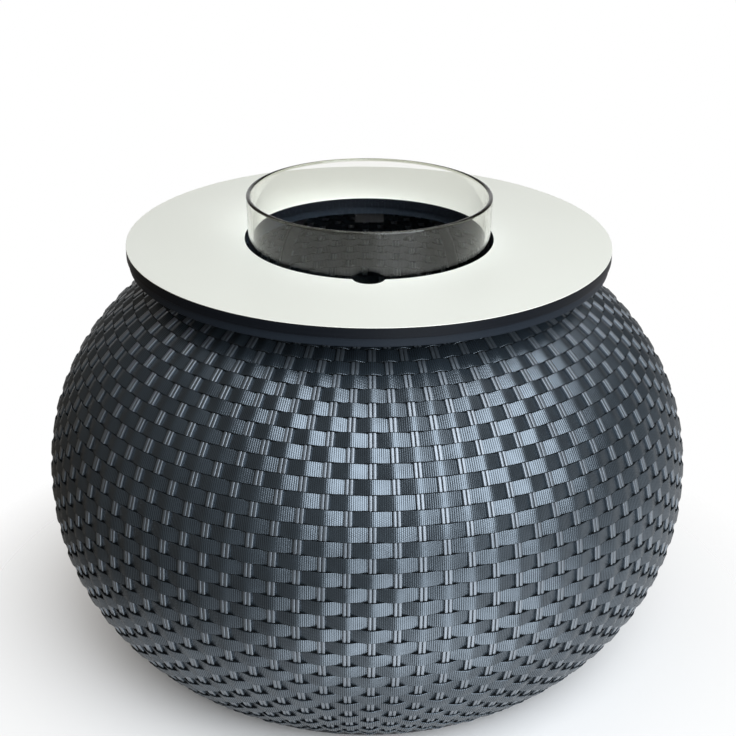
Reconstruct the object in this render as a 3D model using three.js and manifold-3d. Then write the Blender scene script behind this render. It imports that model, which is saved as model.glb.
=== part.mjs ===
// Ice bucket coffee table: a round woven basket on a hidden frame, a lift-off laminate top with
// a hole in its middle, and a glass bucket that drops through the hole onto a tray inside.
// Millimetres, +Z up. The origin is on the floor at the centre of the base, and -Y is the front.

import * as THREE from 'three';
import { mergeVertices } from 'three/addons/utils/BufferGeometryUtils.js';
import Module from 'manifold-3d';

const wasm = await Module();
wasm.setup();

// Clearances.
const seat = 0.3; // gap left between pieces that rest on each other
const overrun = 2; // how far every cutter passes the face it cuts

// Basket outline: a superellipse of height against radius, cut off at the neck and at the base.
const basketRadius = 302;
const basketHalfHeight = 236;
const basketPower = 2.12;
const neckRadius = 178.8; // where the woven cover ends at the top
const baseRadius = 219.3; // where it ends at the bottom
const coverThickness = 6; // from the crowns of the strips to their inner faces
const coverLift = 8; // the cover's lower edge above the floor

// Weave of the cover: strips run round it in rows, over one pair of upright strands and behind
// the next. The first row below the neck is a narrow one.
const pairCount = 92;
const frontPairTurn = 0.94; // the front pair's place beside the middle, in degrees
const stripPitch = 12.6;
const narrowStripPitch = 8.6;
const weaveRelief = 3; // how far in the strips lie where they pass behind a pair
const crownRise = 0.3; // lifts the crowns, to make up for the flats between them

// Welded frame inside the cover.
const neckRingWidth = 24;
const neckRingThickness = 8;
const neckRingRise = 6.4; // its top face above the cover's upper edge
const baseRingWidth = 20;
const baseRingThickness = 8.7;
const ribCount = 8;
const ribWidth = 14;
const ribThickness = 4;
const hoopBarRadius = 4;
const trayArmCount = 4;
const trayArmWidth = 22;
const trayArmDepth = 8;
const trayArmReach = 46; // how far an arm runs in under the tray
const trayThickness = 3;
const trayLipThickness = 2.5;
const trayLipHeight = 10;
const trayDrainRadius = 8;
const trayPadThickness = 2;

// Feet.
const glideCount = 4;
const glideRadius = 10;
const glideHeight = 5;

// Lift-off top: a white decor sheet bonded to a black board, with a ring of board under it.
const topRadius = 220;
const decorThickness = 0.8;
const boardThickness = 8.4;
const underRingInset = 2; // the under ring stands in from the board's edge
const underRingThickness = 7.7;
const underRingBoreGap = 3.5; // and back from the edge of the hole
const restPadCount = 4;
const restPadLength = 26;
const restPadWidth = 14;
const restPadThickness = 3;
const blockCount = 4;
const blockLength = 30;
const blockThickness = 12;
const blockHeight = 16;
const blockPlay = 1.2; // from a block to the inside of the neck ring

// Hole for the bucket, with one scoop for a finger at the front.
const holeRadius = 113.5;
const scoopRadius = 14;
const scoopSetBack = 3.5; // the scoop's centre inside the edge of the hole

// Glass bucket.
const glassGap = 2; // all round, in the hole
const glassHeight = 191;
const glassRise = 41; // rim above the top's white face
const glassWall = 4;
const glassBase = 8;
const glassHeelRadius = 6;
const glassFloorRadius = 10;
const glassRimRadius = 1.6;
const glassLipGap = 1; // from the glass to the tray's lip

// Pan-head screws, one size for the glides and the locating blocks.
const screwHeadRadius = 4;
const screwHeadHeight = 2.4;
const screwShankRadius = 2;
const screwRecess = 0.8; // how deep a head lies under the face around it
const screwBite = 5; // how far a shank runs into the ring that it holds

// Fineness of the round shapes, as counts.
const aroundSteps = 56;
const outlineSteps = 13;
const spareSteps = 2;
const runSteps = 400;
const barSides = 6;
const arcSteps = 3;
const screwSides = 12;
const cutterSides = 24;

const fullTurn = 2 * Math.PI;
// A flat of a turned piece lies this much nearer to the axis than its corners.
const flatShare = Math.cos(Math.PI / aroundSteps);

// A point of the basket's outline. turn is 0 at the widest height and rises to a quarter turn
// at the top; inset moves the point in along the outline's normal.
function outlinePoint(turn, inset) {
  const side = Math.sign(turn);
  const radiusShare = Math.cos(turn) ** (2 / basketPower);
  const heightShare = Math.abs(Math.sin(turn)) ** (2 / basketPower);
  const normal = new THREE.Vector2(
    radiusShare ** (basketPower - 1) / basketRadius,
    side * heightShare ** (basketPower - 1) / basketHalfHeight,
  ).normalize();
  return new THREE.Vector2(
    basketRadius * radiusShare - inset * normal.x,
    equatorHeight + side * basketHalfHeight * heightShare - inset * normal.y,
  );
}

// The turn at which the outline has a given radius, taken above the widest height.
function turnAtRadius(radius) {
  return Math.acos((radius / basketRadius) ** (basketPower / 2));
}

const neckTurn = turnAtRadius(neckRadius);
const baseTurn = -turnAtRadius(baseRadius);
const equatorHeight = coverLift + basketHalfHeight * Math.sin(-baseTurn) ** (2 / basketPower);

// The outline as straight steps from the base to the neck, carried on past either end by a few
// spare steps. The cover and the ribs share these steps, so that they lie against each other.
function outline(inset, spare = 0) {
  return Array.from({ length: outlineSteps + 1 + 2 * spare }, (_, i) => {
    const turn = THREE.MathUtils.lerp(baseTurn, neckTurn, (i - spare) / outlineSteps);
    return outlinePoint(turn, inset);
  });
}

// Where the stepped outline passes a given height.
function outlineAtHeight(height, inset) {
  const points = outline(inset, spareSteps);
  const above = points.findIndex((point) => point.y > height);
  const low = points[above - 1];
  const high = points[above];
  return low.clone().lerp(high, (height - low.y) / (high.y - low.y));
}

// The stretch of the stepped outline between two heights, from the lower one up.
function outlineBetween(low, high, inset) {
  return [
    outlineAtHeight(low, inset),
    ...outline(inset, spareSteps).filter((point) => point.y > low && point.y < high),
    outlineAtHeight(high, inset),
  ];
}

// Heights, worked out from the frame up to the glass and down again to the tray.
const neckEnd = outlinePoint(neckTurn, coverThickness);
const baseEnd = outlinePoint(baseTurn, coverThickness);
const neckRingTop = outlinePoint(neckTurn, 0).y + neckRingRise;
const neckRingBottom = neckRingTop - neckRingThickness;
const neckRingOuter = neckEnd.x * flatShare - seat;
const neckRingInner = neckRingOuter - neckRingWidth;
const baseRingBottom = glideHeight + seat;
const baseRingTop = baseRingBottom + baseRingThickness;
const baseRingOuter = baseEnd.x * flatShare - seat;
const baseRingInner = baseRingOuter - baseRingWidth;

const restPadBottom = neckRingTop + seat;
const underRingBottom = restPadBottom + restPadThickness + seat;
const boardBottom = underRingBottom + underRingThickness + seat;
const decorBottom = boardBottom + boardThickness + seat;
const tableHeight = decorBottom + decorThickness;

const glassRadius = holeRadius - glassGap;
const glassBottom = tableHeight + glassRise - glassHeight;
const trayPadBottom = glassBottom - seat - trayPadThickness;
const trayBottom = trayPadBottom - seat - trayThickness;
const trayRadius = glassRadius + glassLipGap + trayLipThickness;
const trayArmBottom = trayBottom - seat - trayArmDepth;
const upperHoopHeight = trayArmBottom - seat - hoopBarRadius;
const lowerHoopHeight = 2 * equatorHeight - upperHoopHeight;

// A ring or vessel turned about Z from its outline in radius and height, listed the way round
// that keeps the solid on the left.
function turned(points, steps = aroundSteps) {
  return new THREE.LatheGeometry(points, steps).rotateX(Math.PI / 2);
}

function closed(points) {
  return [...points, points[0].clone()];
}

function ring(inner, outer, bottom, top) {
  return turned(closed([
    new THREE.Vector2(inner, bottom),
    new THREE.Vector2(outer, bottom),
    new THREE.Vector2(outer, top),
    new THREE.Vector2(inner, top),
  ]));
}

// A bar of an upright outline in radius and height, with its width across the X axis.
function uprightBar(points, width) {
  return new THREE.ExtrudeGeometry(new THREE.Shape(points), { depth: width, bevelEnabled: false })
    .translate(0, 0, -width / 2)
    .rotateX(Math.PI / 2);
}

// Points of a quarter arc about a centre, in radius and height.
function quarterArc(centreX, centreY, radius, startAngle) {
  return Array.from({ length: arcSteps + 1 }, (_, i) => {
    const angle = startAngle + (Math.PI / 2) * (i / arcSteps);
    return new THREE.Vector2(
      centreX + radius * Math.cos(angle),
      centreY + radius * Math.sin(angle),
    );
  });
}

// An upright round cutter or post.
function post(radius, bottom, top, x, y, sides = cutterSides) {
  return new THREE.CylinderGeometry(radius, radius, top - bottom, sides)
    .rotateX(Math.PI / 2)
    .translate(x, y, (bottom + top) / 2);
}

function toSolid(geometry) {
  const bare = geometry.clone();
  bare.deleteAttribute('normal');
  bare.deleteAttribute('uv');
  const merged = mergeVertices(bare);
  return new wasm.Manifold(new wasm.Mesh({
    numProp: 3,
    vertProperties: new Float32Array(merged.attributes.position.array),
    triVerts: new Uint32Array(merged.index.array),
  }));
}

// A geometry with the cutters taken out of it.
function cut(geometry, cutters) {
  let solid = toSolid(geometry);
  for (const cutter of cutters) solid = solid.subtract(toSolid(cutter));
  const mesh = solid.getMesh();
  const result = new THREE.BufferGeometry();
  result.setAttribute('position', new THREE.BufferAttribute(mesh.vertProperties, mesh.numProp));
  result.setIndex(new THREE.BufferAttribute(mesh.triVerts, 1));
  result.computeVertexNormals();
  return result;
}

// A screw pointing up, with its head's lower face at a height of zero.
function screw(length) {
  return turned([
    new THREE.Vector2(0, 0),
    new THREE.Vector2(screwHeadRadius, 0),
    new THREE.Vector2(screwHeadRadius, screwHeadHeight),
    new THREE.Vector2(screwShankRadius, screwHeadHeight),
    new THREE.Vector2(screwShankRadius, length),
    new THREE.Vector2(0, length),
  ], screwSides);
}

// The two cutters that let a screw into a piece whose lower face is at bottom.
function screwCutters(x, y, bottom, top) {
  const headTop = bottom + screwRecess + screwHeadHeight + seat;
  return [
    post(screwHeadRadius + seat, bottom - overrun, headTop, x, y),
    post(screwShankRadius + seat, bottom, top + overrun, x, y),
  ];
}

// Angles of count pieces spread evenly round the table, from a first angle.
function anglesRound(count, first) {
  return Array.from({ length: count }, (_, i) => first + (i * fullTurn) / count);
}

const finishes = {
  weave: { color: 0x3b3e40, roughness: 0.55, metalness: 0 },
  frame: { color: 0x2c2e30, roughness: 0.5, metalness: 0.6 },
  decor: { color: 0xe9edea, roughness: 0.45, metalness: 0 },
  board: { color: 0x191d22, roughness: 0.5, metalness: 0 },
  underRing: { color: 0x2f343a, roughness: 0.45, metalness: 0 },
  block: { color: 0x1b1b1c, roughness: 0.6, metalness: 0 },
  rubber: { color: 0x151515, roughness: 0.9, metalness: 0 },
  steel: { color: 0xb9bbbd, roughness: 0.3, metalness: 0.9 },
  glass: { color: 0xdfe5de, roughness: 0.05, metalness: 0, transparent: true, opacity: 0.35 },
};

function piece(parent, name, geometry, finish, angle = 0) {
  const mesh = new THREE.Mesh(geometry, new THREE.MeshStandardMaterial(finish));
  mesh.name = name;
  mesh.rotation.z = angle;
  parent.add(mesh);
  return mesh;
}

// The outline's turn at a distance down from the neck, measured along the outline.
function turnAtRun(run) {
  const step = (neckTurn - baseTurn) / runSteps;
  let turn = neckTurn;
  let left = run;
  while (left > 0) {
    const hop = outlinePoint(turn, 0).distanceTo(outlinePoint(turn - step, 0));
    turn -= step * Math.min(1, left / hop);
    left -= hop;
  }
  return turn;
}

// The turns of the rows of strip, from the neck down to the last whole row above the base.
function rowTurns() {
  const turns = [turnAtRun(narrowStripPitch / 2)];
  for (let run = narrowStripPitch; turnAtRun(run + stripPitch) > baseTurn; run += stripPitch) {
    turns.push(turnAtRun(run + stripPitch / 2));
  }
  return turns;
}

// Outline of a solid ball from the base up to the neck, in the plane of a pair of strands. Its
// rows lie outside and inside by turns, and the row at the neck lies outside at an even pair.
function weaveOutline(turns, pair) {
  const rows = turns.map((turn, row) => (
    outlinePoint(turn, (row + pair) % 2 === 0 ? -crownRise : weaveRelief)));
  const [baseInside, baseEdge] = [coverThickness + overrun, 0]
    .map((inset) => outlinePoint(baseTurn, inset));
  const [neckInside, neckEdge] = [coverThickness + overrun, 0]
    .map((inset) => outlinePoint(neckTurn, inset));
  return [
    new THREE.Vector2(0, baseInside.y),
    baseInside,
    baseEdge,
    ...rows.reverse(),
    neckEdge,
    neckInside,
    new THREE.Vector2(0, neckInside.y),
  ];
}

// Solid ball with the relief of the weave on it.
function wovenBall() {
  const turns = rowTurns();
  const outlines = [weaveOutline(turns, 0), weaveOutline(turns, 1)];
  const ball = new THREE.LatheGeometry(outlines[0], pairCount);
  const place = ball.attributes.position;
  for (let i = 0; i < place.count; i += 1) {
    const pair = Math.floor(i / outlines[0].length);
    const point = outlines[pair % 2][i % outlines[0].length];
    const angle = (pair * fullTurn) / pairCount;
    place.setXYZ(i, point.x * Math.sin(angle), point.y, point.x * Math.cos(angle));
  }
  return ball.rotateX(Math.PI / 2).rotateZ(THREE.MathUtils.degToRad(frontPairTurn));
}

// Woven cover: the ball with the space inside it taken out, past both of its ends.
function wovenCover() {
  const inside = outline(coverThickness, spareSteps);
  return cut(wovenBall(), [turned([
    new THREE.Vector2(0, inside[0].y),
    ...inside,
    new THREE.Vector2(0, inside.at(-1).y),
  ])]);
}

// Flat bar bent to the inside of the cover, from the base ring up to the neck ring.
function rib() {
  const outer = coverThickness + seat;
  const foot = baseRingTop + seat;
  const head = neckRingBottom - seat;
  const points = [
    ...outlineBetween(foot, head, outer),
    ...outlineBetween(foot, head, outer + ribThickness).reverse(),
  ];
  for (const point of points) point.x *= flatShare;
  return uprightBar(points, ribWidth);
}

// Radius of a hoop that lies against the inside of the ribs at a given height.
function hoopRadius(height) {
  return outlineAtHeight(height, coverThickness + seat + ribThickness + seat + hoopBarRadius).x;
}

function hoop(height) {
  const section = Array.from({ length: barSides }, (_, i) => {
    const angle = (i * fullTurn) / barSides;
    return new THREE.Vector2(
      hoopRadius(height) + hoopBarRadius * Math.cos(angle),
      height + hoopBarRadius * Math.sin(angle),
    );
  });
  return turned(closed(section));
}

// Flat arm that lies on the upper hoop and runs in under the tray.
function trayArm() {
  const inner = trayRadius - trayArmReach;
  const outer = hoopRadius(upperHoopHeight);
  return new THREE.BoxGeometry(outer - inner, trayArmWidth, trayArmDepth)
    .translate((outer + inner) / 2, 0, trayArmBottom + trayArmDepth / 2);
}

function tray() {
  const floor = trayBottom + trayThickness;
  const lipInner = trayRadius - trayLipThickness;
  return turned(closed([
    new THREE.Vector2(trayDrainRadius, trayBottom),
    new THREE.Vector2(trayRadius, trayBottom),
    new THREE.Vector2(trayRadius, floor + trayLipHeight),
    new THREE.Vector2(lipInner, floor + trayLipHeight),
    new THREE.Vector2(lipInner, floor),
    new THREE.Vector2(trayDrainRadius, floor),
  ]));
}

// Round glide with a recess below for the head of its screw.
const glideCentre = (baseRingInner + baseRingOuter) / 2;
const glideScrewTop = baseRingBottom + screwBite;

function glide() {
  const body = post(glideRadius, 0, glideHeight, glideCentre, 0);
  return cut(body, screwCutters(glideCentre, 0, 0, glideHeight));
}

const glideAngles = anglesRound(glideCount, Math.PI / glideCount);

function baseRing() {
  const blank = ring(baseRingInner, baseRingOuter, baseRingBottom, baseRingTop);
  const hole = { bottom: baseRingBottom - overrun, top: glideScrewTop + seat };
  return cut(blank, glideAngles.map((angle) => post(
    screwShankRadius + seat, hole.bottom, hole.top,
    glideCentre * Math.cos(angle), glideCentre * Math.sin(angle),
  )));
}

// The scoop at the front of the hole, as a cutter through all the layers of the top.
function scoopCutter() {
  const centre = holeRadius - scoopSetBack;
  return post(scoopRadius, underRingBottom - overrun, tableHeight + overrun, 0, -centre);
}

// Nylon block that drops inside the neck ring and keeps the top centred.
const blockBottom = underRingBottom - seat - blockHeight;
const blockOuter = neckRingInner * flatShare - blockPlay;
const blockCentre = blockOuter - blockThickness / 2;
const blockScrewTop = underRingBottom + screwBite;
const blockAngles = anglesRound(blockCount, 0);

function locatingBlock() {
  const body = new THREE.BoxGeometry(blockThickness, blockLength, blockHeight)
    .translate(blockCentre, 0, blockBottom + blockHeight / 2);
  return cut(body, screwCutters(blockCentre, 0, blockBottom, blockBottom + blockHeight));
}

function underRing() {
  const blank = ring(
    holeRadius + underRingBoreGap, topRadius - underRingInset,
    underRingBottom, underRingBottom + underRingThickness,
  );
  const hole = { bottom: underRingBottom - overrun, top: blockScrewTop + seat };
  const holes = blockAngles.map((angle) => post(
    screwShankRadius + seat, hole.bottom, hole.top,
    blockCentre * Math.cos(angle), blockCentre * Math.sin(angle),
  ));
  return cut(blank, [scoopCutter(), ...holes]);
}

function topSheet(bottom, thickness) {
  return cut(ring(holeRadius, topRadius, bottom, bottom + thickness), [scoopCutter()]);
}

// Straight-sided glass with a thick base, round inside and out at the bottom and at the rim.
function glassBucket() {
  const inner = glassRadius - glassWall;
  const floor = glassBottom + glassBase;
  const rim = tableHeight + glassRise;
  return turned([
    new THREE.Vector2(0, glassBottom),
    ...quarterArc(glassRadius - glassHeelRadius, glassBottom + glassHeelRadius,
      glassHeelRadius, -Math.PI / 2),
    ...quarterArc(glassRadius - glassRimRadius, rim - glassRimRadius, glassRimRadius, 0),
    ...quarterArc(inner + glassRimRadius, rim - glassRimRadius, glassRimRadius, Math.PI / 2),
    ...quarterArc(inner - glassFloorRadius, floor + glassFloorRadius,
      glassFloorRadius, -Math.PI / 2).reverse(),
    new THREE.Vector2(0, floor),
  ]);
}

const table = new THREE.Group();
const basket = new THREE.Group();
const top = new THREE.Group();
const bucket = new THREE.Group();
table.add(basket, top, bucket);

piece(basket, 'woven_cover', wovenCover(), finishes.weave);
piece(basket, 'neck_ring', ring(neckRingInner, neckRingOuter, neckRingBottom, neckRingTop),
  finishes.frame);
piece(basket, 'upper_hoop', hoop(upperHoopHeight), finishes.frame);
piece(basket, 'lower_hoop', hoop(lowerHoopHeight), finishes.frame);
piece(basket, 'base_ring', baseRing(), finishes.frame);
anglesRound(ribCount, Math.PI / ribCount).forEach((angle, i) => {
  piece(basket, `rib_${i + 1}`, rib(), finishes.frame, angle);
});
anglesRound(trayArmCount, Math.PI / trayArmCount).forEach((angle, i) => {
  piece(basket, `tray_arm_${i + 1}`, trayArm(), finishes.frame, angle);
});
piece(basket, 'bucket_tray', tray(), finishes.frame);
piece(basket, 'tray_pad',
  ring(trayDrainRadius, glassRadius - glassHeelRadius, trayPadBottom,
    trayPadBottom + trayPadThickness),
  finishes.rubber);
anglesRound(restPadCount, Math.PI / restPadCount).forEach((angle, i) => {
  const pad = new THREE.BoxGeometry(restPadWidth, restPadLength, restPadThickness)
    .translate((neckRingInner + neckRingOuter) / 2, 0, restPadBottom + restPadThickness / 2);
  piece(basket, `rest_pad_${i + 1}`, pad, finishes.rubber, angle);
});
glideAngles.forEach((angle, i) => {
  const pin = screw(glideScrewTop - screwRecess).translate(glideCentre, 0, screwRecess);
  piece(basket, `foot_glide_${i + 1}`, glide(), finishes.block, angle);
  piece(basket, `glide_screw_${i + 1}`, pin, finishes.steel, angle);
});

piece(top, 'top_decor', topSheet(decorBottom, decorThickness), finishes.decor);
piece(top, 'top_board', topSheet(boardBottom, boardThickness), finishes.board);
piece(top, 'under_ring', underRing(), finishes.underRing);
blockAngles.forEach((angle, i) => {
  const low = blockBottom + screwRecess;
  const pin = screw(blockScrewTop - low).translate(blockCentre, 0, low);
  piece(top, `locating_block_${i + 1}`, locatingBlock(), finishes.block, angle);
  piece(top, `block_screw_${i + 1}`, pin, finishes.steel, angle);
});

piece(bucket, 'glass_bucket', glassBucket(), finishes.glass);

export default table;
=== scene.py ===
# Ice bucket coffee table: a ball-shaped woven basket on a hidden metal frame, a laminate top that
# lifts off, and a glass bucket that stands through a hole in the middle of the top.
# Metres, +Z up, the floor at zero and the front towards -Y.
from math import pi, radians

import bpy
import numpy as np
from mathutils import Matrix, Vector


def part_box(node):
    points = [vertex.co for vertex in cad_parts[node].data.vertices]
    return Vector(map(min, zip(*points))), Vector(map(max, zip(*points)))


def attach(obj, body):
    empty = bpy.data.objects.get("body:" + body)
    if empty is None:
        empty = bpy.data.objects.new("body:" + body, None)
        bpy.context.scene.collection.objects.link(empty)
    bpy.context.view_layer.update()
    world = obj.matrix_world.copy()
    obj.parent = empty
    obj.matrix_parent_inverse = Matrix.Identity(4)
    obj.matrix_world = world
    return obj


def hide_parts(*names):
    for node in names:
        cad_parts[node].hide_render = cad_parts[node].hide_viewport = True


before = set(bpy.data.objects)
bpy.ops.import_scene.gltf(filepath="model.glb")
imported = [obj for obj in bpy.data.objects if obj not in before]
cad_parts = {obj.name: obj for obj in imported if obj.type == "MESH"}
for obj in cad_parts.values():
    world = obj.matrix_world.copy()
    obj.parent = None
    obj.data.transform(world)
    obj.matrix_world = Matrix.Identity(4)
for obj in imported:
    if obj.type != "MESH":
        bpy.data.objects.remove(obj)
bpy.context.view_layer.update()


# Rings and hoops of the basket's frame.
# Two flat rings and two round hoops of aluminium, powder-coated in a fine matt black. The neck
# ring carries the top, the base ring stands on the feet, and the hoops tie the ribs together.

neck_ring_width = 0.024
base_ring_width = 0.020
ring_edge_radius = 0.0012
hoop_bar_radius = 0.004
hoop_sides = 16
ring_steps = 160
coat_colour = (0.022, 0.023, 0.025, 1)
coat_light_colour = (0.034, 0.035, 0.038, 1)
coat_grain_depth = 0.00012


class Wire:
    """A shader socket that can be reckoned with: each operator adds a Math node."""

    def __init__(self, finish, socket):
        self.finish = finish
        self.socket = socket

    def math(self, operation, *values):
        return self.finish.node("ShaderNodeMath", {"operation": operation}, dict(enumerate(values)))

    def __add__(self, other):
        return self.math("ADD", self, other)

    def __radd__(self, other):
        return self.math("ADD", other, self)

    def __sub__(self, other):
        return self.math("SUBTRACT", self, other)

    def __rsub__(self, other):
        return self.math("SUBTRACT", other, self)

    def __mul__(self, other):
        return self.math("MULTIPLY", self, other)

    def __rmul__(self, other):
        return self.math("MULTIPLY", other, self)

    def __or__(self, other):
        return self.math("MAXIMUM", self, other)

    def __lt__(self, other):
        return self.math("LESS_THAN", self, other)

    def sine(self):
        return self.math("SINE", self)

    def floor(self):
        return self.math("FLOOR", self)


class Finish:
    """The nodes of one material, or of the surround, and the patterns that its finishes use."""

    def __init__(self, owner):
        owner.use_nodes = True
        self.owner = owner
        self.tree = owner.node_tree
        self.tree.nodes.clear()

    def node(self, kind, settings, values, output=0):
        made = self.tree.nodes.new(kind)
        for setting, value in settings.items():
            setattr(made, setting, value)
        for key, value in values.items():
            if isinstance(value, Wire):
                self.tree.links.new(value.socket, made.inputs[key])
            else:
                made.inputs[key].default_value = value
        return Wire(self, made.outputs[output] if made.outputs else None)

    def place(self):
        return self.node("ShaderNodeTexCoord", {}, {}, "Object")

    def stretched(self, scale):
        return self.node("ShaderNodeMapping", {}, {"Vector": self.place(), "Scale": scale})

    def noise(self, where, scale):
        return self.node("ShaderNodeTexNoise", {}, {"Vector": where, "Scale": scale})

    def tone(self, amount, low, high, from_low=0.3, from_high=0.7):
        """A number from low to high, as amount goes between its own two limits. Unless they are
        given, they are those that a noise hardly leaves."""
        values = {"Value": amount, "From Min": from_low, "From Max": from_high,
                  "To Min": low, "To Max": high}
        return self.node("ShaderNodeMapRange", {}, values)

    def colour(self, amount, first, second):
        """A colour from first to second, as amount goes from nought to one. The node has sockets
        for numbers, vectors and colours in turn, and the colours are inputs 6 and 7."""
        values = {0: amount, 6: first, 7: second}
        return self.node("ShaderNodeMix", {"data_type": "RGBA"}, values, 2)

    def relief(self, height, depth):
        """A normal for bumps whose height goes from nought to one over depth, in metres."""
        return self.node("ShaderNodeBump", {}, {"Height": height, "Distance": depth})

    def shade(self, sockets):
        """Ends a material with its one surface shader."""
        surface = self.node("ShaderNodeBsdfPrincipled", {}, sockets)
        self.node("ShaderNodeOutputMaterial", {}, {"Surface": surface})
        return self.owner


def powder_coat():
    """Black powder coat: a fine orange-peel grain, a little glossier in soft patches."""
    finish = Finish(bpy.data.materials.new("powder_coat"))
    grain = finish.noise(finish.place(), 900)
    patches = finish.noise(finish.place(), 30)
    return finish.shade({
        "Base Color": finish.colour(patches, coat_colour, coat_light_colour),
        "Roughness": finish.tone(patches, 0.48, 0.62),
        "Specular IOR Level": 0.4,
        "Normal": finish.relief(grain, coat_grain_depth)})


def rounded(corners, radius, steps=3):
    """An outline with its corners rounded off. Each corner gives way to an arc that touches both
    of its sides, found by turning evenly about the arc's centre from one touching point to the
    other."""
    corners = np.array(corners, float)
    radius = np.broadcast_to(radius, len(corners))[:, None]
    back = np.roll(corners, 1, 0) - corners
    ahead = np.roll(corners, -1, 0) - corners
    back /= np.linalg.norm(back, axis=1, keepdims=True)
    ahead /= np.linalg.norm(ahead, axis=1, keepdims=True)
    half = np.arccos(np.clip((back * ahead).sum(1, keepdims=True), -1, 1)) / 2
    middle = (back + ahead) / np.linalg.norm(back + ahead, axis=1, keepdims=True)
    centre = corners + middle * radius / np.sin(half)
    first = (corners + back * radius / np.tan(half) - centre)[:, None]
    last = (corners + ahead * radius / np.tan(half) - centre)[:, None]
    turn = (pi - 2 * half)[:, None]
    share = np.linspace(0, 1, steps + 1)[None, :, None]
    arc = (np.sin((1 - share) * turn) * first + np.sin(share * turn) * last) / np.sin(turn)
    return (centre[:, None] + arc).reshape(-1, 2)


def solid(name, points, faces, material):
    """A smooth mesh object in the scene."""
    mesh = bpy.data.meshes.new(name)
    mesh.from_pydata(points.reshape(-1, 3), [], faces)
    mesh.polygons.foreach_set("use_smooth", np.ones(len(mesh.polygons), bool))
    mesh.materials.append(material)
    piece = bpy.data.objects.new(name, mesh)
    bpy.context.scene.collection.objects.link(piece)
    return piece


def tube_faces(tubes, rings, corners, looped):
    """The four-sided faces between neighbouring rings and corners, whose points are numbered tube
    by tube, then ring by ring."""
    steps = rings if looped else rings - 1
    tube, ring, corner = np.meshgrid(
        np.arange(tubes), np.arange(steps), np.arange(corners), indexing="ij")
    next_ring, next_corner = (ring + 1) % rings, (corner + 1) % corners
    start, onward = (tube * rings + ring) * corners, (tube * rings + next_ring) * corners
    faces = [start + corner, onward + corner, onward + next_corner, start + next_corner]
    return np.stack(faces, -1).reshape(-1, 4)


def round_axis(outlines, angle):
    """Points of outlines in radius and height, each set at its angle round the Z axis."""
    radius, height = outlines[..., 0], outlines[..., 1]
    return np.stack([radius * np.cos(angle), radius * np.sin(angle), height + 0 * angle], -1)


def closed_loops(name, points, material):
    """Loops from points[loop, ring, corner], where a ring is one place of a section that is
    carried on until it meets itself."""
    return solid(name, points, tube_faces(*points.shape[:3], True).tolist(), material)


def turned(name, outline, material):
    """A closed outline in radius and height, listed anticlockwise, carried round the Z axis."""
    angle = np.linspace(0, 2 * pi, ring_steps, endpoint=False)[:, None]
    return closed_loops(name, round_axis(outline, angle)[None], material)


def flat_faced(piece):
    """Keeps broad faces flat to the eye, so that only the rounded edges catch the light."""
    piece.modifiers.new("flat faces", "WEIGHTED_NORMAL").keep_sharp = True
    return piece


def fit(piece, body, finish_slot, *nodes):
    """Fixes a piece to its body, in place of the nodes that it stands for. Its finish slot is not
    used.
    """
    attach(piece, body)
    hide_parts(*nodes)


def ring_outline(node, width):
    """The section of a flat ring with rounded edges, in the place of its node."""
    low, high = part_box(node)
    inner = high.x - width
    return rounded([(inner, low.z), (high.x, low.z), (high.x, high.z), (inner, high.z)],
                   ring_edge_radius)


def hoop_outline(node):
    """The round section of a hoop's bar, in the place of its node."""
    low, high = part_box(node)
    turn = np.linspace(0, 2 * pi, hoop_sides, endpoint=False)
    radius = high.x - hoop_bar_radius + hoop_bar_radius * np.cos(turn)
    return np.stack([radius, (low.z + high.z) / 2 + hoop_bar_radius * np.sin(turn)], -1)


frame_finish = powder_coat()
frame_outlines = {
    "neck_ring": ring_outline("neck_ring", neck_ring_width),
    "base_ring": ring_outline("base_ring", base_ring_width),
    "upper_hoop": hoop_outline("upper_hoop"),
    "lower_hoop": hoop_outline("lower_hoop")}
for frame_node, frame_outline in frame_outlines.items():
    frame_piece = flat_faced(turned(frame_node + "_coated", frame_outline, frame_finish))
    fit(frame_piece, "basket", "powder_coated_frame", frame_node)


# Ribs of the basket's frame.
# Eight flat aluminium bars, bent to the inside of the weave and welded to the two rings and the
# two hoops, with the same powder coat.

widest_radius = 0.302
half_height = 0.236
outline_power = 2.12
neck_radius = 0.1788
base_radius = 0.2193
cover_thickness = 0.006
fit_gap = 0.0003
rib_count = 8
rib_width = 0.014
rib_thickness = 0.004
rib_rings = 60
outline_samples = 4001


def basket_outline(depth):
    """Distance down from the neck, radius and height of the ball's outline, moved in by depth.
    The outline is a superellipse: the powers of radius over widest radius and of height over half
    height add up to one, and the slope of that sum is square to the outline."""
    turn = np.linspace(neck_turn, base_turn, outline_samples)
    radius_share = np.cos(turn) ** (2 / outline_power)
    height_share = np.sign(turn) * np.abs(np.sin(turn)) ** (2 / outline_power)
    outward = radius_share ** (outline_power - 1) / widest_radius
    upward = np.sign(turn) * np.abs(height_share) ** (outline_power - 1) / half_height
    steepness = np.hypot(outward, upward)
    radius = widest_radius * radius_share
    height = widest_height + half_height * height_share
    run = np.concatenate([[0], np.cumsum(np.hypot(np.diff(radius), np.diff(height)))])
    return run, radius - depth * outward / steepness, height - depth * upward / steepness


def on_outline(run, depth):
    """Radius and height at some distances down the outline, moved in by depth."""
    runs, radius, height = basket_outline(depth)
    return np.stack([np.interp(run, runs, radius), np.interp(run, runs, height)], -1)


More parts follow.
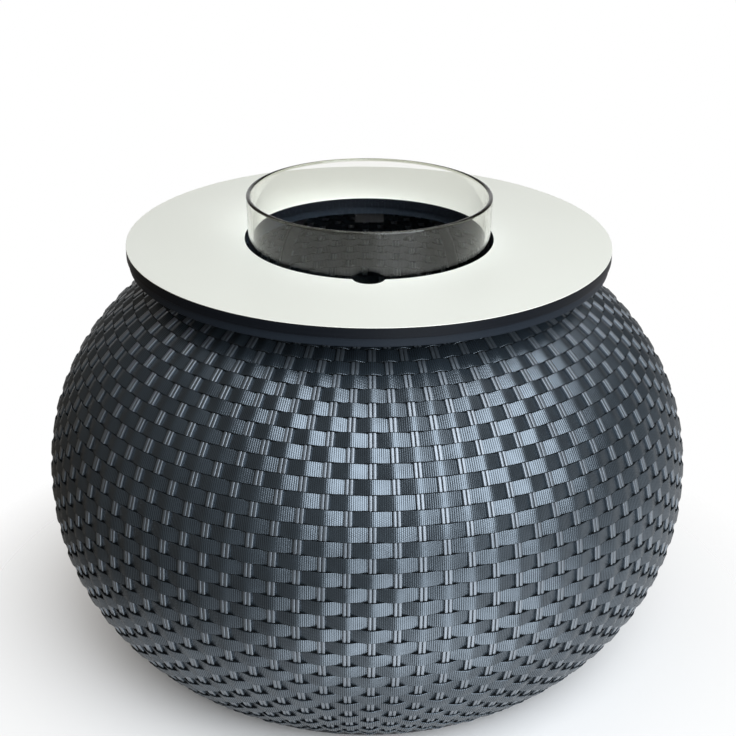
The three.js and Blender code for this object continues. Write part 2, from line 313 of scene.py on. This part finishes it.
def bent_bars(name, path, angles, section, aside, material):
    """Bars that follow one path of radii and heights, at several angles round the axis and a
    little to one side of them. The section's points are steps out from the path, square to it,
    and steps sideways. Each bar is closed at both ends."""
    slope = np.gradient(path, axis=0)
    slope /= np.linalg.norm(slope, axis=1, keepdims=True)
    outward = np.stack([-slope[:, 1], slope[:, 0]], -1)
    flat = path[:, None] + section[None, :, :1] * outward[:, None]
    angle = angles[:, None, None]
    side = section[:, 1] + aside
    points = round_axis(flat, angle)
    points[..., 0] -= side * np.sin(angle)
    points[..., 1] += side * np.cos(angle)
    bars, rings, corners = points.shape[:3]
    top = np.arange(bars)[:, None] * rings * corners + np.arange(corners)
    foot = (top + (rings - 1) * corners)[:, ::-1]
    faces = tube_faces(bars, rings, corners, False).tolist() + top.tolist() + foot.tolist()
    return solid(name, points, faces, material)


def rib_path():
    """The middle line of a rib, from under the neck ring down to the base ring."""
    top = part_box("neck_ring")[0].z - fit_gap
    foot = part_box("base_ring")[1].z + fit_gap
    radius, height = basket_outline(cover_thickness + fit_gap + rib_thickness / 2)[1:]
    inside = np.linspace(top, foot, rib_rings)
    return np.stack([np.interp(-inside, -height, radius), inside], -1)


neck_turn = np.arccos((neck_radius / widest_radius) ** (outline_power / 2))
base_turn = -np.arccos((base_radius / widest_radius) ** (outline_power / 2))
cover_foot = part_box("woven_cover")[0].z
widest_height = cover_foot + half_height * np.sin(-base_turn) ** (2 / outline_power)
outline_length = basket_outline(0)[0][-1]

rib_section = rounded([
    (-rib_thickness / 2, -rib_width / 2), (rib_thickness / 2, -rib_width / 2),
    (rib_thickness / 2, rib_width / 2), (-rib_thickness / 2, rib_width / 2)], rib_thickness / 4)
rib_angles = -pi / 2 + (np.arange(rib_count) + 0.5) * 2 * pi / rib_count
ribs = bent_bars("frame_ribs", rib_path(), rib_angles, rib_section, 0, frame_finish)
fit(flat_faced(ribs), "basket", "powder_coated_frame",
    *[f"rib_{i + 1}" for i in range(rib_count)])


# Upright strands of the weave.
# Smooth extruded resin strands, slightly rounded in front, run up the ball in pairs, from the base
# to the neck ring, where they bend in over the ring's edge.

pair_count = 92
first_pair_angle = -pi / 2 + radians(0.94)
strand_width = 0.0030
strand_thickness = 0.0025
strand_crown = 0.00025
strand_crown_radius = 0.0055
strand_corner_radius = 0.0006
strand_spacing = 0.0034
strand_rings = 46
strand_steps_over_ring = [(-0.0040, 0), (-0.0008, 0)]
strand_steps_round_edge = [(-0.0007, -0.0006), (0, -0.0025)]
strand_steps_to_weave = [(0, 0.0030), (0.0002, 0.0010)]
weave_depth = 0.0031
strand_colour = (0.022, 0.028, 0.034, 1)
strand_light_colour = (0.036, 0.045, 0.053, 1)


def smooth_resin():
    """Extruded resin: a silky body under a thin glossy skin, a little uneven along the strand."""
    finish = Finish(bpy.data.materials.new("smooth_resin"))
    streaks = finish.noise(finish.stretched((400, 400, 12)), 1.0)
    patches = finish.noise(finish.place(), 18)
    return finish.shade({
        "Base Color": finish.colour(streaks * 0.5 + patches * 0.5, strand_colour,
                                    strand_light_colour),
        "Roughness": finish.tone(streaks, 0.40, 0.50),
        "IOR": 1.85,
        "Specular IOR Level": 1.0,
        "Specular Tint": (0.80, 0.89, 1.0, 1),
        "Coat Weight": 0.5,
        "Coat Roughness": 0.12})


def strand_path():
    """The middle line of a strand: in over the neck ring's edge, down beside the ring, and then
    down the middle of the weave. The bend is a few steps, in radius and height, from the ring's
    edge and from the top of the weave."""
    ring_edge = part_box("neck_ring")[1]
    lift = strand_thickness / 2 + fit_gap
    over, beside = ring_edge.z + lift, ring_edge.x + lift
    woven = on_outline(np.linspace(0, outline_length, strand_rings), weave_depth)
    return np.concatenate([np.add(strand_steps_over_ring, (ring_edge.x, over)),
                           np.add(strand_steps_round_edge, (beside, over)),
                           np.add(strand_steps_to_weave, (beside, woven[0, 1])), woven])


strand_section = rounded([
    (-strand_thickness / 2, -strand_width / 2),
    (strand_thickness / 2 - strand_crown, -strand_width / 2), (strand_thickness / 2, 0),
    (strand_thickness / 2 - strand_crown, strand_width / 2),
    (-strand_thickness / 2, strand_width / 2)],
    [strand_corner_radius, strand_corner_radius, strand_crown_radius, strand_corner_radius,
     strand_corner_radius])
pair_angles = first_pair_angle + np.arange(pair_count) * 2 * pi / pair_count
strand_finish = smooth_resin()
for side_name, strand_shift in (("left", -strand_spacing / 2), ("right", strand_spacing / 2)):
    strands = bent_bars(f"upright_strands_{side_name}", strand_path(), pair_angles,
                        strand_section, strand_shift, strand_finish)
    fit(strands, "basket", "woven_resin", "woven_cover")


# Strips of the weave.
# Flat resin strips, embossed with fine ribs across them, run round the ball in rows. Each row
# goes over one pair of strands and behind the next, with a soft ridge over each pair. No two
# crossings lie quite alike.

strip_width = 0.0121
strip_thickness = 0.0011
strip_pitch = 0.0126
strip_swing = 0.00185
strip_edge_points = 4
strip_edge_turn = 3 * pi / 8
first_full_run = 0.01492
full_row_count = 34
narrow_run = 0.0046
narrow_width = 0.0076
ridge_share = 0.92
columns_per_pair = 10
swing_unevenness = 0.03
swing_seed = 1
lean_unevenness = radians(1.0)
lean_seed = 2
emboss_pitch = 0.0017
emboss_lines = 8
groove_share = 0.25
rib_relief = 0.00006
line_relief = 0.00004
# Painted shade: the near-black colour that darkens the emboss grooves and lines.
groove_shade_colour = (0.002, 0.003, 0.004, 1)
strip_colour = (0.014, 0.021, 0.028, 1)
strip_light_colour = (0.027, 0.038, 0.049, 1)


def embossed_resin():
    """Embossed resin: flat ribs across the strip with narrow grooves between them, and lines
    along it that step sideways from one rib to the next. Grooves and lines are sine waves,
    squared to make them narrow. A groove lies where its wave peaks, a quarter of the way along
    its rib. Shade is painted into the grooves and lines: there the skin blends into a dull,
    nearly black shader, more in some spots than in others."""
    finish = Finish(bpy.data.materials.new("embossed_resin"))
    strip = finish.node("ShaderNodeUVMap", {"uv_map": "strip"}, {})
    along = finish.node("ShaderNodeSeparateXYZ", {}, {"Vector": strip}, "X")
    across = finish.node("ShaderNodeSeparateXYZ", {}, {"Vector": strip}, "Y")
    groove = (along * (2 * pi)).sine() * 0.5 + 0.5
    groove = groove * groove
    rib = (along - groove_share).floor()
    line = (across * (2 * pi * emboss_lines) + rib * pi).sine() * 0.5 + 0.5
    line = line * line
    patches = finish.noise(finish.place(), 14)
    total = rib_relief + line_relief
    height = 1 - groove * (rib_relief / total) - line * (line_relief / total)
    skin = finish.node("ShaderNodeBsdfPrincipled", {}, {
        "Base Color": finish.colour(patches, strip_colour, strip_light_colour),
        "Roughness": finish.tone(patches, 0.21, 0.27),
        "IOR": 1.72,
        "Specular IOR Level": 1.0,
        "Specular Tint": (0.76, 0.88, 1.0, 1),
        "Normal": finish.relief(height, total)})
    # A dull, nearly black shader: painted shade in the grooves and lines, mixed in by the groove
    # and line mask.
    depth = finish.node("ShaderNodeBsdfPrincipled", {}, {
        "Base Color": groove_shade_colour, "Roughness": 0.8, "Specular IOR Level": 0.2})
    dull = (groove | line * 0.4) * finish.tone(finish.noise(finish.place(), 70), 0.6, 1.0)
    both = finish.node("ShaderNodeMixShader", {}, {0: dull, 1: skin, 2: depth})
    finish.node("ShaderNodeOutputMaterial", {}, {"Surface": both})
    return finish.owner


def strip_section(width):
    """A flat strip with half-round edges, as steps out from the outline and steps up along it."""
    edge = strip_thickness / 2
    turn = np.linspace(strip_edge_turn, -strip_edge_turn, strip_edge_points)
    upper = np.stack([edge * np.sin(turn), width / 2 - edge + edge * np.cos(turn)], -1)
    return np.concatenate([upper, -upper])


def unevenness(rows, amount, seed):
    """Small steady differences along each row: a number at every pair of strands, within twice
    the amount, and straight lines between them."""
    source = np.random.default_rng(seed).normal(0, amount, (full_row_count + 1, pair_count))
    knots = np.clip(source, -2 * amount, 2 * amount)[rows]
    share = np.arange(columns_per_pair) / columns_per_pair
    mixed = knots[..., None] * (1 - share) + np.roll(knots, -1, 1)[..., None] * share
    return mixed.reshape(len(rows), -1)


def strip_swings(rows):
    """How far each row stands out from the middle of the weave, at each column: the arc sine of a
    share of a cosine, a triangle wave with softened tips, which peaks over every second pair of
    strands, and in the next row over the pairs between them."""
    columns = pair_count * columns_per_pair
    turn = np.arange(columns) * 2 * pi / columns
    wave = np.cos(turn * pair_count / 2 + pi * rows[:, None])
    return strip_swing * np.arcsin(ridge_share * wave) / np.arcsin(ridge_share)


def weave_frame(run):
    """The middle of the weave at some distances down the outline, and the directions out from it
    and up along it there, in radius and height."""
    near = on_outline(run - strip_thickness, weave_depth)
    far = on_outline(run + strip_thickness, weave_depth)
    up = (near - far) / np.linalg.norm(near - far, axis=1, keepdims=True)
    return on_outline(run, weave_depth), np.stack([up[:, 1], -up[:, 0]], -1), up


def strip_rows(name, rows, material):
    """Rows of strip round the ball. Each row's section swings out and in with the weave, and
    leans a little, up or down, by its unevenness. The strip's own map counts ribs along it, and
    goes from nought to one across it."""
    swing = strip_swings(rows) * (1 + unevenness(rows, swing_unevenness, swing_seed))
    lean = unevenness(rows, lean_unevenness, lean_seed)[..., None]
    centre, out, up = weave_frame(row_runs[rows])
    section = np.stack([strip_section(width) for width in row_widths[rows]])[:, None]
    outward = swing[..., None] + section[..., 0] * np.cos(lean) - section[..., 1] * np.sin(lean)
    upward = section[..., 1] * np.cos(lean) + section[..., 0] * np.sin(lean)
    flat = (centre[:, None, None] + outward[..., None] * out[:, None, None]
            + upward[..., None] * up[:, None, None])
    columns = swing.shape[1]
    angle = first_pair_angle + np.arange(columns) * 2 * pi / columns
    piece = closed_loops(name, round_axis(flat, angle[None, :, None]), material)
    ribs_per_column = np.round(centre[:, 0] * 2 * pi / emboss_pitch) / columns
    reach = np.arange(columns)[:, None, None] + [0, 1, 1, 0]
    along = ribs_per_column[:, None, None, None] * reach
    across = strip_shares[np.arange(section.shape[2])[:, None] + [0, 0, 1, 1]]
    spread = np.stack(np.broadcast_arrays(along, across), -1)
    piece.data.uv_layers.new(name="strip").uv.foreach_set("vector", spread.ravel())
    return piece


row_runs = np.append(narrow_run, first_full_run + strip_pitch * np.arange(full_row_count))
row_widths = np.append(narrow_width, np.full(full_row_count, strip_width))
strip_shares = np.repeat([1.0, 0.0, 1.0], [strip_edge_points, strip_edge_points, 1])
strip_finish = embossed_resin()
row_groups = np.array_split(np.arange(full_row_count + 1), 3)
for height_name, group in zip(("upper", "middle", "lower"), row_groups):
    strips = flat_faced(strip_rows(f"woven_strips_{height_name}", group, strip_finish))
    fit(strips, "basket", "woven_resin", "woven_cover")


# Webs of painted shade between the strips.
# The real rows are pressed together so tightly that hardly any light comes through. Thin dark
# webs, painted shade where there is only shade, close the wedges that the even rows leave open
# beside each pair of strands.

web_columns = np.array([0, 1, 2, 5, 8, 9])
web_columns_at_pair = np.array([0, 1, 9])
web_thickness = 0.0006
web_grain_depth = 0.00005
# The colours of the webs' painted shade.
web_shade_colour = (0.002, 0.0025, 0.003, 1)
web_shade_fleck_colour = (0.005, 0.006, 0.007, 1)


def painted_shade_resin():
    """Painted shade for the webs: dull and nearly black, with a dusty grain."""
    finish = Finish(bpy.data.materials.new("painted_shade_resin"))
    grain = finish.noise(finish.place(), 700)
    return finish.shade({
        "Base Color": finish.colour(grain, web_shade_colour, web_shade_fleck_colour),
        "Roughness": finish.tone(grain, 0.7, 0.85),
        "Specular IOR Level": 0.05,
        "Normal": finish.relief(grain, web_grain_depth)})


def painted_shade_webs(name, material):
    """A web of painted shade in each seam between two rows, with a section at some of the
    strips' columns. It spans from the row that lies inside to the row that lies outside. At a
    pair of strands it ends at the back of the outer row."""
    seams = (row_runs[:-1] + row_widths[:-1] / 2 + row_runs[1:] - row_widths[1:] / 2) / 2
    columns = (np.arange(pair_count)[:, None] * columns_per_pair + web_columns).ravel()
    reach = np.abs(strip_swings(np.arange(1)))[0, columns]
    at_pair = np.tile(np.isin(web_columns, web_columns_at_pair), pair_count)
    outer = np.where(at_pair, reach - strip_thickness / 2, reach)
    inner = -reach - strip_thickness / 2
    outer = np.maximum(outer, inner + web_thickness)
    across = np.stack([inner, outer, outer, inner], -1)
    along = np.array([-1, -1, 1, 1]) * web_thickness / 2
    centre, out, up = weave_frame(seams)
    flat = (centre[:, None, None] + across[..., None] * out[:, None, None]
            + along[:, None] * up[:, None, None])
    angle = first_pair_angle + columns * 2 * pi / (pair_count * columns_per_pair)
    return closed_loops(name, round_axis(flat, angle[None, :, None]), material)


# Dark webs of painted shade in the seams between the rows.
webs = painted_shade_webs("painted_shade_webs", painted_shade_resin())
fit(webs, "basket", "woven_resin", "woven_cover")


# Tray for the bucket.
# A pressed aluminium dish with an upright lip and a drain hole, on four flat arms that are welded
# to the upper hoop. A rubber pad in the dish cushions the glass.

tray_sheet = 0.003
tray_lip_thickness = 0.0025
tray_drain_radius = 0.008
tray_edge_radii = [0.0008, 0.0025, 0.0011, 0.0011, 0.0005, 0.0008]
arm_count = 4
arm_edge_radius = 0.0008
pad_edge_radius = 0.0006
weld_distance = 0.00001
smallest_eased_turn = radians(40)
rubber_grain_depth = 0.00008
rubber_colour = (0.012, 0.012, 0.012, 1)
rubber_dusty_colour = (0.026, 0.026, 0.026, 1)


def soft_rubber():
    """Matt black rubber with a fine dusty grain."""
    finish = Finish(bpy.data.materials.new("soft_rubber"))
    grain = finish.noise(finish.place(), 1500)
    return finish.shade({
        "Base Color": finish.colour(grain, rubber_colour, rubber_dusty_colour),
        "Roughness": finish.tone(grain, 0.75, 0.92),
        "Specular IOR Level": 0.3,
        "Normal": finish.relief(grain, rubber_grain_depth)})


def refinish(node, material, edge_radius):
    """Keeps a node's own shape, gives it the material and eases its edges: its faces are joined
    where they meet, and then bevelled."""
    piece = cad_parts[node]
    piece.data.materials.clear()
    piece.data.materials.append(material)
    piece.modifiers.new("join", "WELD").merge_threshold = weld_distance
    ease = piece.modifiers.new("ease", "BEVEL")
    ease.width = edge_radius
    ease.segments = 2
    ease.limit_method = "ANGLE"
    ease.angle_limit = smallest_eased_turn
    ease.harden_normals = True


def tray_outline():
    """The section of the dish, from the drain hole out under the floor and up over the lip."""
    low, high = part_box("bucket_tray")
    floor, lip = low.z + tray_sheet, high.x - tray_lip_thickness
    corners = [(tray_drain_radius, low.z), (high.x, low.z), (high.x, high.z), (lip, high.z),
               (lip, floor), (tray_drain_radius, floor)]
    return rounded(corners, tray_edge_radii)


def pad_outline():
    """The section of the flat pad, with a hole over the drain."""
    low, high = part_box("tray_pad")
    corners = [(tray_drain_radius, low.z), (high.x, low.z), (high.x, high.z),
               (tray_drain_radius, high.z)]
    return rounded(corners, pad_edge_radius)


rubber_finish = soft_rubber()
dish = flat_faced(turned("tray_dish", tray_outline(), frame_finish))
fit(dish, "basket", "powder_coated_frame", "bucket_tray")
cushion = flat_faced(turned("tray_cushion", pad_outline(), rubber_finish))
fit(cushion, "basket", "rubber", "tray_pad")
for i in range(arm_count):
    refinish(f"tray_arm_{i + 1}", frame_finish, arm_edge_radius)
    refinish(f"rest_pad_{i + 1}", rubber_finish, pad_edge_radius)


# Feet.
# Four moulded nylon glides under the base ring, each held by one stainless screw whose head is
# sunk into the glide.

glide_count = 4
glide_edge_radius = 0.0006
screw_edge_radius = 0.0002
nylon_grain_depth = 0.00006
steel_mark_depth = 0.00002
nylon_colour = (0.009, 0.009, 0.010, 1)
nylon_light_colour = (0.020, 0.020, 0.021, 1)
steel_colour = (0.55, 0.55, 0.56, 1)
steel_dull_colour = (0.44, 0.44, 0.45, 1)


def moulded_nylon():
    """Black nylon with the fine spark grain of its mould."""
    finish = Finish(bpy.data.materials.new("moulded_nylon"))
    grain = finish.noise(finish.place(), 1200)
    return finish.shade({
        "Base Color": finish.colour(grain, nylon_colour, nylon_light_colour),
        "Roughness": finish.tone(grain, 0.45, 0.60),
        "Specular IOR Level": 0.25,
        "Normal": finish.relief(grain, nylon_grain_depth)})


def screw_steel():
    """Stainless steel with faint turning marks."""
    finish = Finish(bpy.data.materials.new("screw_steel"))
    marks = finish.noise(finish.stretched((1, 1, 30)), 400)
    return finish.shade({
        "Base Color": finish.colour(marks, steel_colour, steel_dull_colour),
        "Roughness": finish.tone(marks, 0.25, 0.40),
        "Metallic": 1.0,
        "Normal": finish.relief(marks, steel_mark_depth)})


nylon_finish = moulded_nylon()
steel_finish = screw_steel()
for i in range(glide_count):
    refinish(f"foot_glide_{i + 1}", nylon_finish, glide_edge_radius)
    refinish(f"glide_screw_{i + 1}", steel_finish, screw_edge_radius)


# Layers of the top.
# A thin white laminate sheet bonded to a black board, and below that a ring of board that is a
# little smaller. All three have the round hole for the bucket, with a scoop for a finger.

hole_radius = 0.1135
scoop_radius = 0.014
scoop_set_back = 0.0035
under_ring_bore_gap = 0.0035
top_steps = 256
scoop_steps = 40
laminate_edge_radii = [0.0001, 0.0001, 0.00025, 0.00025]
board_edge_radii = [0.0004, 0.0006, 0.0004, 0.0004]
under_ring_edge_radii = [0.0006, 0.0010, 0.0006, 0.0006]
laminate_core_below = 0.0004
laminate_skin_above = 0.0003
laminate_grain_depth = 0.00001
board_layer_depth = 0.00003
laminate_colour = (0.87, 0.885, 0.82, 1)
laminate_cloud_colour = (0.84, 0.85, 0.775, 1)
laminate_core_colour = (0.020, 0.016, 0.014, 1)
board_colour = (0.003, 0.004, 0.006, 1)
board_fleck_colour = (0.014, 0.017, 0.023, 1)
under_ring_colour = (0.010, 0.014, 0.020, 1)
under_ring_fleck_colour = (0.021, 0.027, 0.036, 1)


def laminate():
    """Off-white laminate with a silky face, and a dark core that shows along its edge."""
    finish = Finish(bpy.data.materials.new("laminate"))
    place = finish.place()
    height = finish.node("ShaderNodeSeparateXYZ", {}, {"Vector": place}, "Z")
    face_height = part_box("top_decor")[1].z
    skin = finish.tone(height, 0, 1, face_height - laminate_core_below,
                       face_height - laminate_skin_above)
    clouds = finish.noise(place, 5)
    face = finish.colour(clouds, laminate_colour, laminate_cloud_colour)
    return finish.shade({
        "Base Color": finish.colour(skin, laminate_core_colour, face),
        "Roughness": finish.tone(clouds, 0.38, 0.46),
        "Specular IOR Level": 0.4,
        "Normal": finish.relief(finish.noise(place, 2500), laminate_grain_depth)})


def dense_board(name, dark, light, roughness):
    """Board coloured through, whose polished edge shows fine layers and a few pale flecks."""
    finish = Finish(bpy.data.materials.new(name))
    layers = finish.noise(finish.stretched((12, 12, 900)), 1.0)
    flecks = finish.tone(finish.noise(finish.place(), 900), 0, 1, 0.60, 0.75)
    return finish.shade({
        "Base Color": finish.colour(flecks * 0.5 + layers * 0.3, dark, light),
        "Roughness": finish.tone(layers, roughness, roughness + 0.12),
        "Specular IOR Level": 0.08,
        "Normal": finish.relief(layers, board_layer_depth)})


def hole_edge(bore):
    """Angles round the top, and the radius of the hole's edge at each. Round most of the hole it
    is the bore. At the front, from where the two circles cross, it follows the scoop's circle."""
    centre = hole_radius - scoop_set_back
    crossing = (bore ** 2 - centre ** 2 - scoop_radius ** 2) / (2 * centre * scoop_radius)
    turn = np.linspace(-1, 1, scoop_steps) * np.arccos(crossing)
    across, ahead = scoop_radius * np.sin(turn), centre + scoop_radius * np.cos(turn)
    scoop = np.arctan2(across, ahead)
    rest = np.linspace(scoop[-1], 2 * pi + scoop[0], top_steps)[1:-1]
    angle = np.append(scoop, rest) - pi / 2
    return angle, np.append(np.hypot(across, ahead), np.full(len(rest), bore))


def top_layer(name, node, bore, edges, material):
    """One layer of the top: a section with rounded edges, whose inner side follows the edge of
    the hole while its outer side goes round in a circle."""
    low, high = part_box(node)
    angle, inner = hole_edge(bore)
    wide = high.x - bore
    section = rounded([(0, low.z), (wide, low.z), (wide, high.z), (0, high.z)], edges)
    radius = section[:, 0] + np.where(section[:, 0] < wide / 2, inner[:, None], bore)
    height = section[:, 1] + 0 * radius
    points = round_axis(np.stack([radius, height], -1), angle[:, None])
    return flat_faced(closed_loops(name, points[None], material))


top_board_finish = dense_board("black_board", board_colour, board_fleck_colour, 0.36)
under_board_finish = dense_board("grey_board", under_ring_colour, under_ring_fleck_colour, 0.40)
face_sheet = top_layer("laminate_face", "top_decor", hole_radius, laminate_edge_radii,
                       laminate())
fit(face_sheet, "table_top", "white_laminate", "top_decor")
board = top_layer("board_disc", "top_board", hole_radius, board_edge_radii, top_board_finish)
fit(board, "table_top", "black_board", "top_board")
under_board = top_layer("under_board_ring", "under_ring", hole_radius + under_ring_bore_gap,
                        under_ring_edge_radii, under_board_finish)
fit(under_board, "table_top", "under_ring_board", "under_ring")


# Locating blocks.
# Four nylon blocks, each screwed up into the under ring. They drop inside the neck ring and keep
# the top centred.

block_count = 4
block_edge_radius = 0.0010

for i in range(block_count):
    refinish(f"locating_block_{i + 1}", nylon_finish, block_edge_radius)
    refinish(f"block_screw_{i + 1}", steel_finish, screw_edge_radius)


# Glass bucket.
# Clear pressed glass with nearly straight sides, a thick base and a fire-polished rim, standing
# loose on the pad in the tray.

glass_wall = 0.004
glass_base = 0.008
glass_heel_radius = 0.006
glass_floor_radius = 0.010
glass_draft = 0.0014
glass_foot_draft = 0.0018
glass_bend_radius = 0.20
glass_rim_radius_share = 0.49
glass_rim_tint_from = 0.0030
glass_rim_tint_full = 0.0015
glass_wave_depth = 0.00006
glass_corner_steps = 8
glass_steps = 160
glass_colour = (0.974, 0.974, 0.948, 1)
glass_pale_colour = (0.982, 0.981, 0.958, 1)
glass_rim_colour = (0.55, 0.55, 0.45, 1)


def clear_glass():
    """Clear glass with a trace of green, which gathers in the rim, and a slight waviness."""
    finish = Finish(bpy.data.materials.new("clear_glass"))
    waves = finish.noise(finish.stretched((1, 1, 0.25)), 22)
    height = finish.node("ShaderNodeSeparateXYZ", {}, {"Vector": finish.place()}, "Z")
    rim_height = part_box("glass_bucket")[1].z
    rim = finish.tone(height, 0, 1, rim_height - glass_rim_tint_from,
                      rim_height - glass_rim_tint_full)
    wall = finish.colour(waves, glass_colour, glass_pale_colour)
    return finish.shade({
        "Base Color": finish.colour(rim, wall, glass_rim_colour),
        "Roughness": 0.0,
        "IOR": 1.46,
        "Transmission Weight": 1.0,
        "Normal": finish.relief(waves, glass_wave_depth)})


def bucket_outline():
    """Half of the bucket's section, from the underside out round the heel, up over the rim, and
    down inside to the floor. The wall draws in a little from the rim down to the table's face,
    and hardly more below it. The middles of the underside and of the floor are left out."""
    low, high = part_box("glass_bucket")
    floor, face = low.z + glass_base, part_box("top_decor")[1].z
    foot, waist = high.x - glass_foot_draft, high.x - glass_draft
    rim = glass_wall * glass_rim_radius_share
    corners = [(0, low.z), (foot, low.z), (waist, face), (high.x, high.z),
               (high.x - glass_wall, high.z), (waist - glass_wall, face),
               (foot - glass_wall, floor), (0, floor)]
    radii = [glass_wall, glass_heel_radius, glass_bend_radius, rim, rim, glass_bend_radius,
             glass_floor_radius, glass_wall]
    ends = glass_corner_steps + 1
    return rounded(corners, radii, glass_corner_steps)[ends:-ends]


def turned_bucket(name, outline, material):
    """An outline carried round the Z axis, and closed with fans of faces about the middle of the
    underside and the middle of the floor."""
    angle = np.linspace(0, 2 * pi, glass_steps, endpoint=False)[:, None]
    points = round_axis(outline, angle).reshape(-1, 3)
    last = len(outline) - 1
    walls = tube_faces(1, glass_steps, len(outline), True)
    walls = walls[walls[:, 0] % len(outline) < last]
    here = np.arange(glass_steps) * len(outline)
    onward = np.roll(here, -1)
    underside, floor = np.full(glass_steps, len(points)), np.full(glass_steps, len(points) + 1)
    fans = [np.stack([onward, here, underside], -1),
            np.stack([here + last, onward + last, floor], -1)]
    middles = [(0, 0, outline[0, 1]), (0, 0, outline[-1, 1])]
    faces = walls.tolist() + fans[0].tolist() + fans[1].tolist()
    return solid(name, np.concatenate([points, middles]), faces, material)


bucket = turned_bucket("clear_bucket", bucket_outline(), clear_glass())
bucket.visible_shadow = False  # clear glass lets the light of the lamps through
fit(flat_faced(bucket), "ice_bucket", "clear_glass", "glass_bucket")


# Floor, surround and lamps.
# A pale floor that fades into a white surround, a big soft lamp in front on the right, and a
# weaker one below it for the light that a bright floor throws back.

floor_radius = 4.0
floor_solid_to = 0.20
floor_gone_at = 0.46
floor_steps = 96
floor_colour = (0.96, 0.96, 0.96, 1)
floor_cloud_colour = (0.94, 0.94, 0.94, 1)
white = (1, 1, 1, 1)
surround_light = 0.21
surround_tint = (1.0, 0.87, 0.72, 1)
surround_loss_in_gloss = 0.4
white_behind = ((0.0, 1.0, 0.0), 0.75, 0.96)
white_above = ((0.35, 0.0, 0.94), 0.75, 0.97)
white_below = ((0.4, 0.0, -0.92), 0.2, 0.8)
lamp_tint = (0.89, 0.945, 1.0)
lamp_aim = (0, 0, 0.2)
front_lamp_place = (0.937, -1.763, 1.705)
front_lamp_size = (1.9, 3.0)
front_lamp_power = 102
floor_glow_place = (0.881, -1.978, -1.05)
floor_glow_size = (1.8, 2.9)
floor_glow_power = 46


def pale_floor():
    """A matt floor that turns see-through with the distance from the middle."""
    finish = Finish(bpy.data.materials.new("pale_floor"))
    place = finish.place()
    distance = finish.node("ShaderNodeVectorMath", {"operation": "LENGTH"}, {0: place}, "Value")
    return finish.shade({
        "Base Color": finish.colour(finish.noise(place, 3), floor_colour, floor_cloud_colour),
        "Roughness": 0.9,
        "Specular IOR Level": 0.0,
        "Alpha": finish.tone(distance, 1, 0, floor_solid_to, floor_gone_at)})


def white_surround():
    """A surround that lights the table evenly, and is plain white to the camera and through
    glass. Gloss shows it white behind the table, and high above and low down on the right, and
    else dimmer than its light. Each white place has a direction, and fades in between two values
    of its dot product with where the gloss looks."""
    finish = Finish(bpy.data.worlds.new("surround"))
    toward = finish.node("ShaderNodeTexCoord", {}, {}, "Generated")
    places = []
    for direction, begins, full in (white_behind, white_above, white_below):
        nearness = finish.node("ShaderNodeVectorMath", {"operation": "DOT_PRODUCT"},
                               {0: toward, 1: direction}, "Value")
        places.append(finish.tone(nearness, 0, 1, begins, full))
    behind, above, below = places
    by_camera = finish.node("ShaderNodeLightPath", {}, {}, "Is Camera Ray")
    in_gloss = finish.node("ShaderNodeLightPath", {}, {}, "Is Glossy Ray")
    through_glass = finish.node("ShaderNodeLightPath", {}, {}, "Is Transmission Ray")
    direct = finish.node("ShaderNodeLightPath", {}, {}, "Diffuse Depth") < 0.5
    seen = (by_camera | through_glass | in_gloss * (behind | above | below)) * direct
    light = finish.node("ShaderNodeBackground", {}, {
        "Color": surround_tint,
        "Strength": (1 - in_gloss * surround_loss_in_gloss) * surround_light})
    plain = finish.node("ShaderNodeBackground", {}, {"Color": white, "Strength": 1.0})
    mixed = finish.node("ShaderNodeMixShader", {}, {0: seen, 1: light, 2: plain})
    finish.node("ShaderNodeOutputWorld", {}, {"Surface": mixed})
    return finish.owner


def soft_lamp(name, place, size, power):
    """A soft rectangular lamp of a width and height, turned to face the middle of the table."""
    light = bpy.data.lights.new(name, "AREA")
    light.shape = "RECTANGLE"
    light.size, light.size_y = size
    light.energy = power
    light.color = lamp_tint
    lamp = bpy.data.objects.new(name, light)
    bpy.context.scene.collection.objects.link(lamp)
    lamp.location = place
    lamp.rotation_euler = (Vector(lamp_aim) - Vector(place)).to_track_quat("-Z", "Y").to_euler()


floor_turn = np.linspace(0, 2 * pi, floor_steps, endpoint=False)
floor_rim = np.stack([floor_radius * np.cos(floor_turn), floor_radius * np.sin(floor_turn),
                      0 * floor_turn], -1)
solid("floor", floor_rim, [list(range(floor_steps))], pale_floor())
bpy.context.scene.world = white_surround()
soft_lamp("front_lamp", front_lamp_place, front_lamp_size, front_lamp_power)
soft_lamp("floor_glow", floor_glow_place, floor_glow_size, floor_glow_power)


# Camera.
# A short telephoto lens, level with an eye that looks down on the table from the front. Its
# place follows from the ellipses of the top, the hole and the glass rim.

camera_lens = 75.1
camera_sensor = 36
camera_place = (0, -1.330, 0.8605)
camera_tilt = radians(65.97)
camera_roll = radians(0.5)
camera_near = 0.05

lens = bpy.data.cameras.new("camera")
lens.lens = camera_lens
lens.sensor_width = camera_sensor
lens.clip_start = camera_near
camera = bpy.data.objects.new("camera", lens)
bpy.context.scene.collection.objects.link(camera)
camera.matrix_world = (Matrix.Translation(camera_place) @ Matrix.Rotation(camera_tilt, 4, "X")
                       @ Matrix.Rotation(camera_roll, 4, "Z"))
bpy.context.scene.camera = camera
bpy.context.scene.view_settings.view_transform = "Standard"
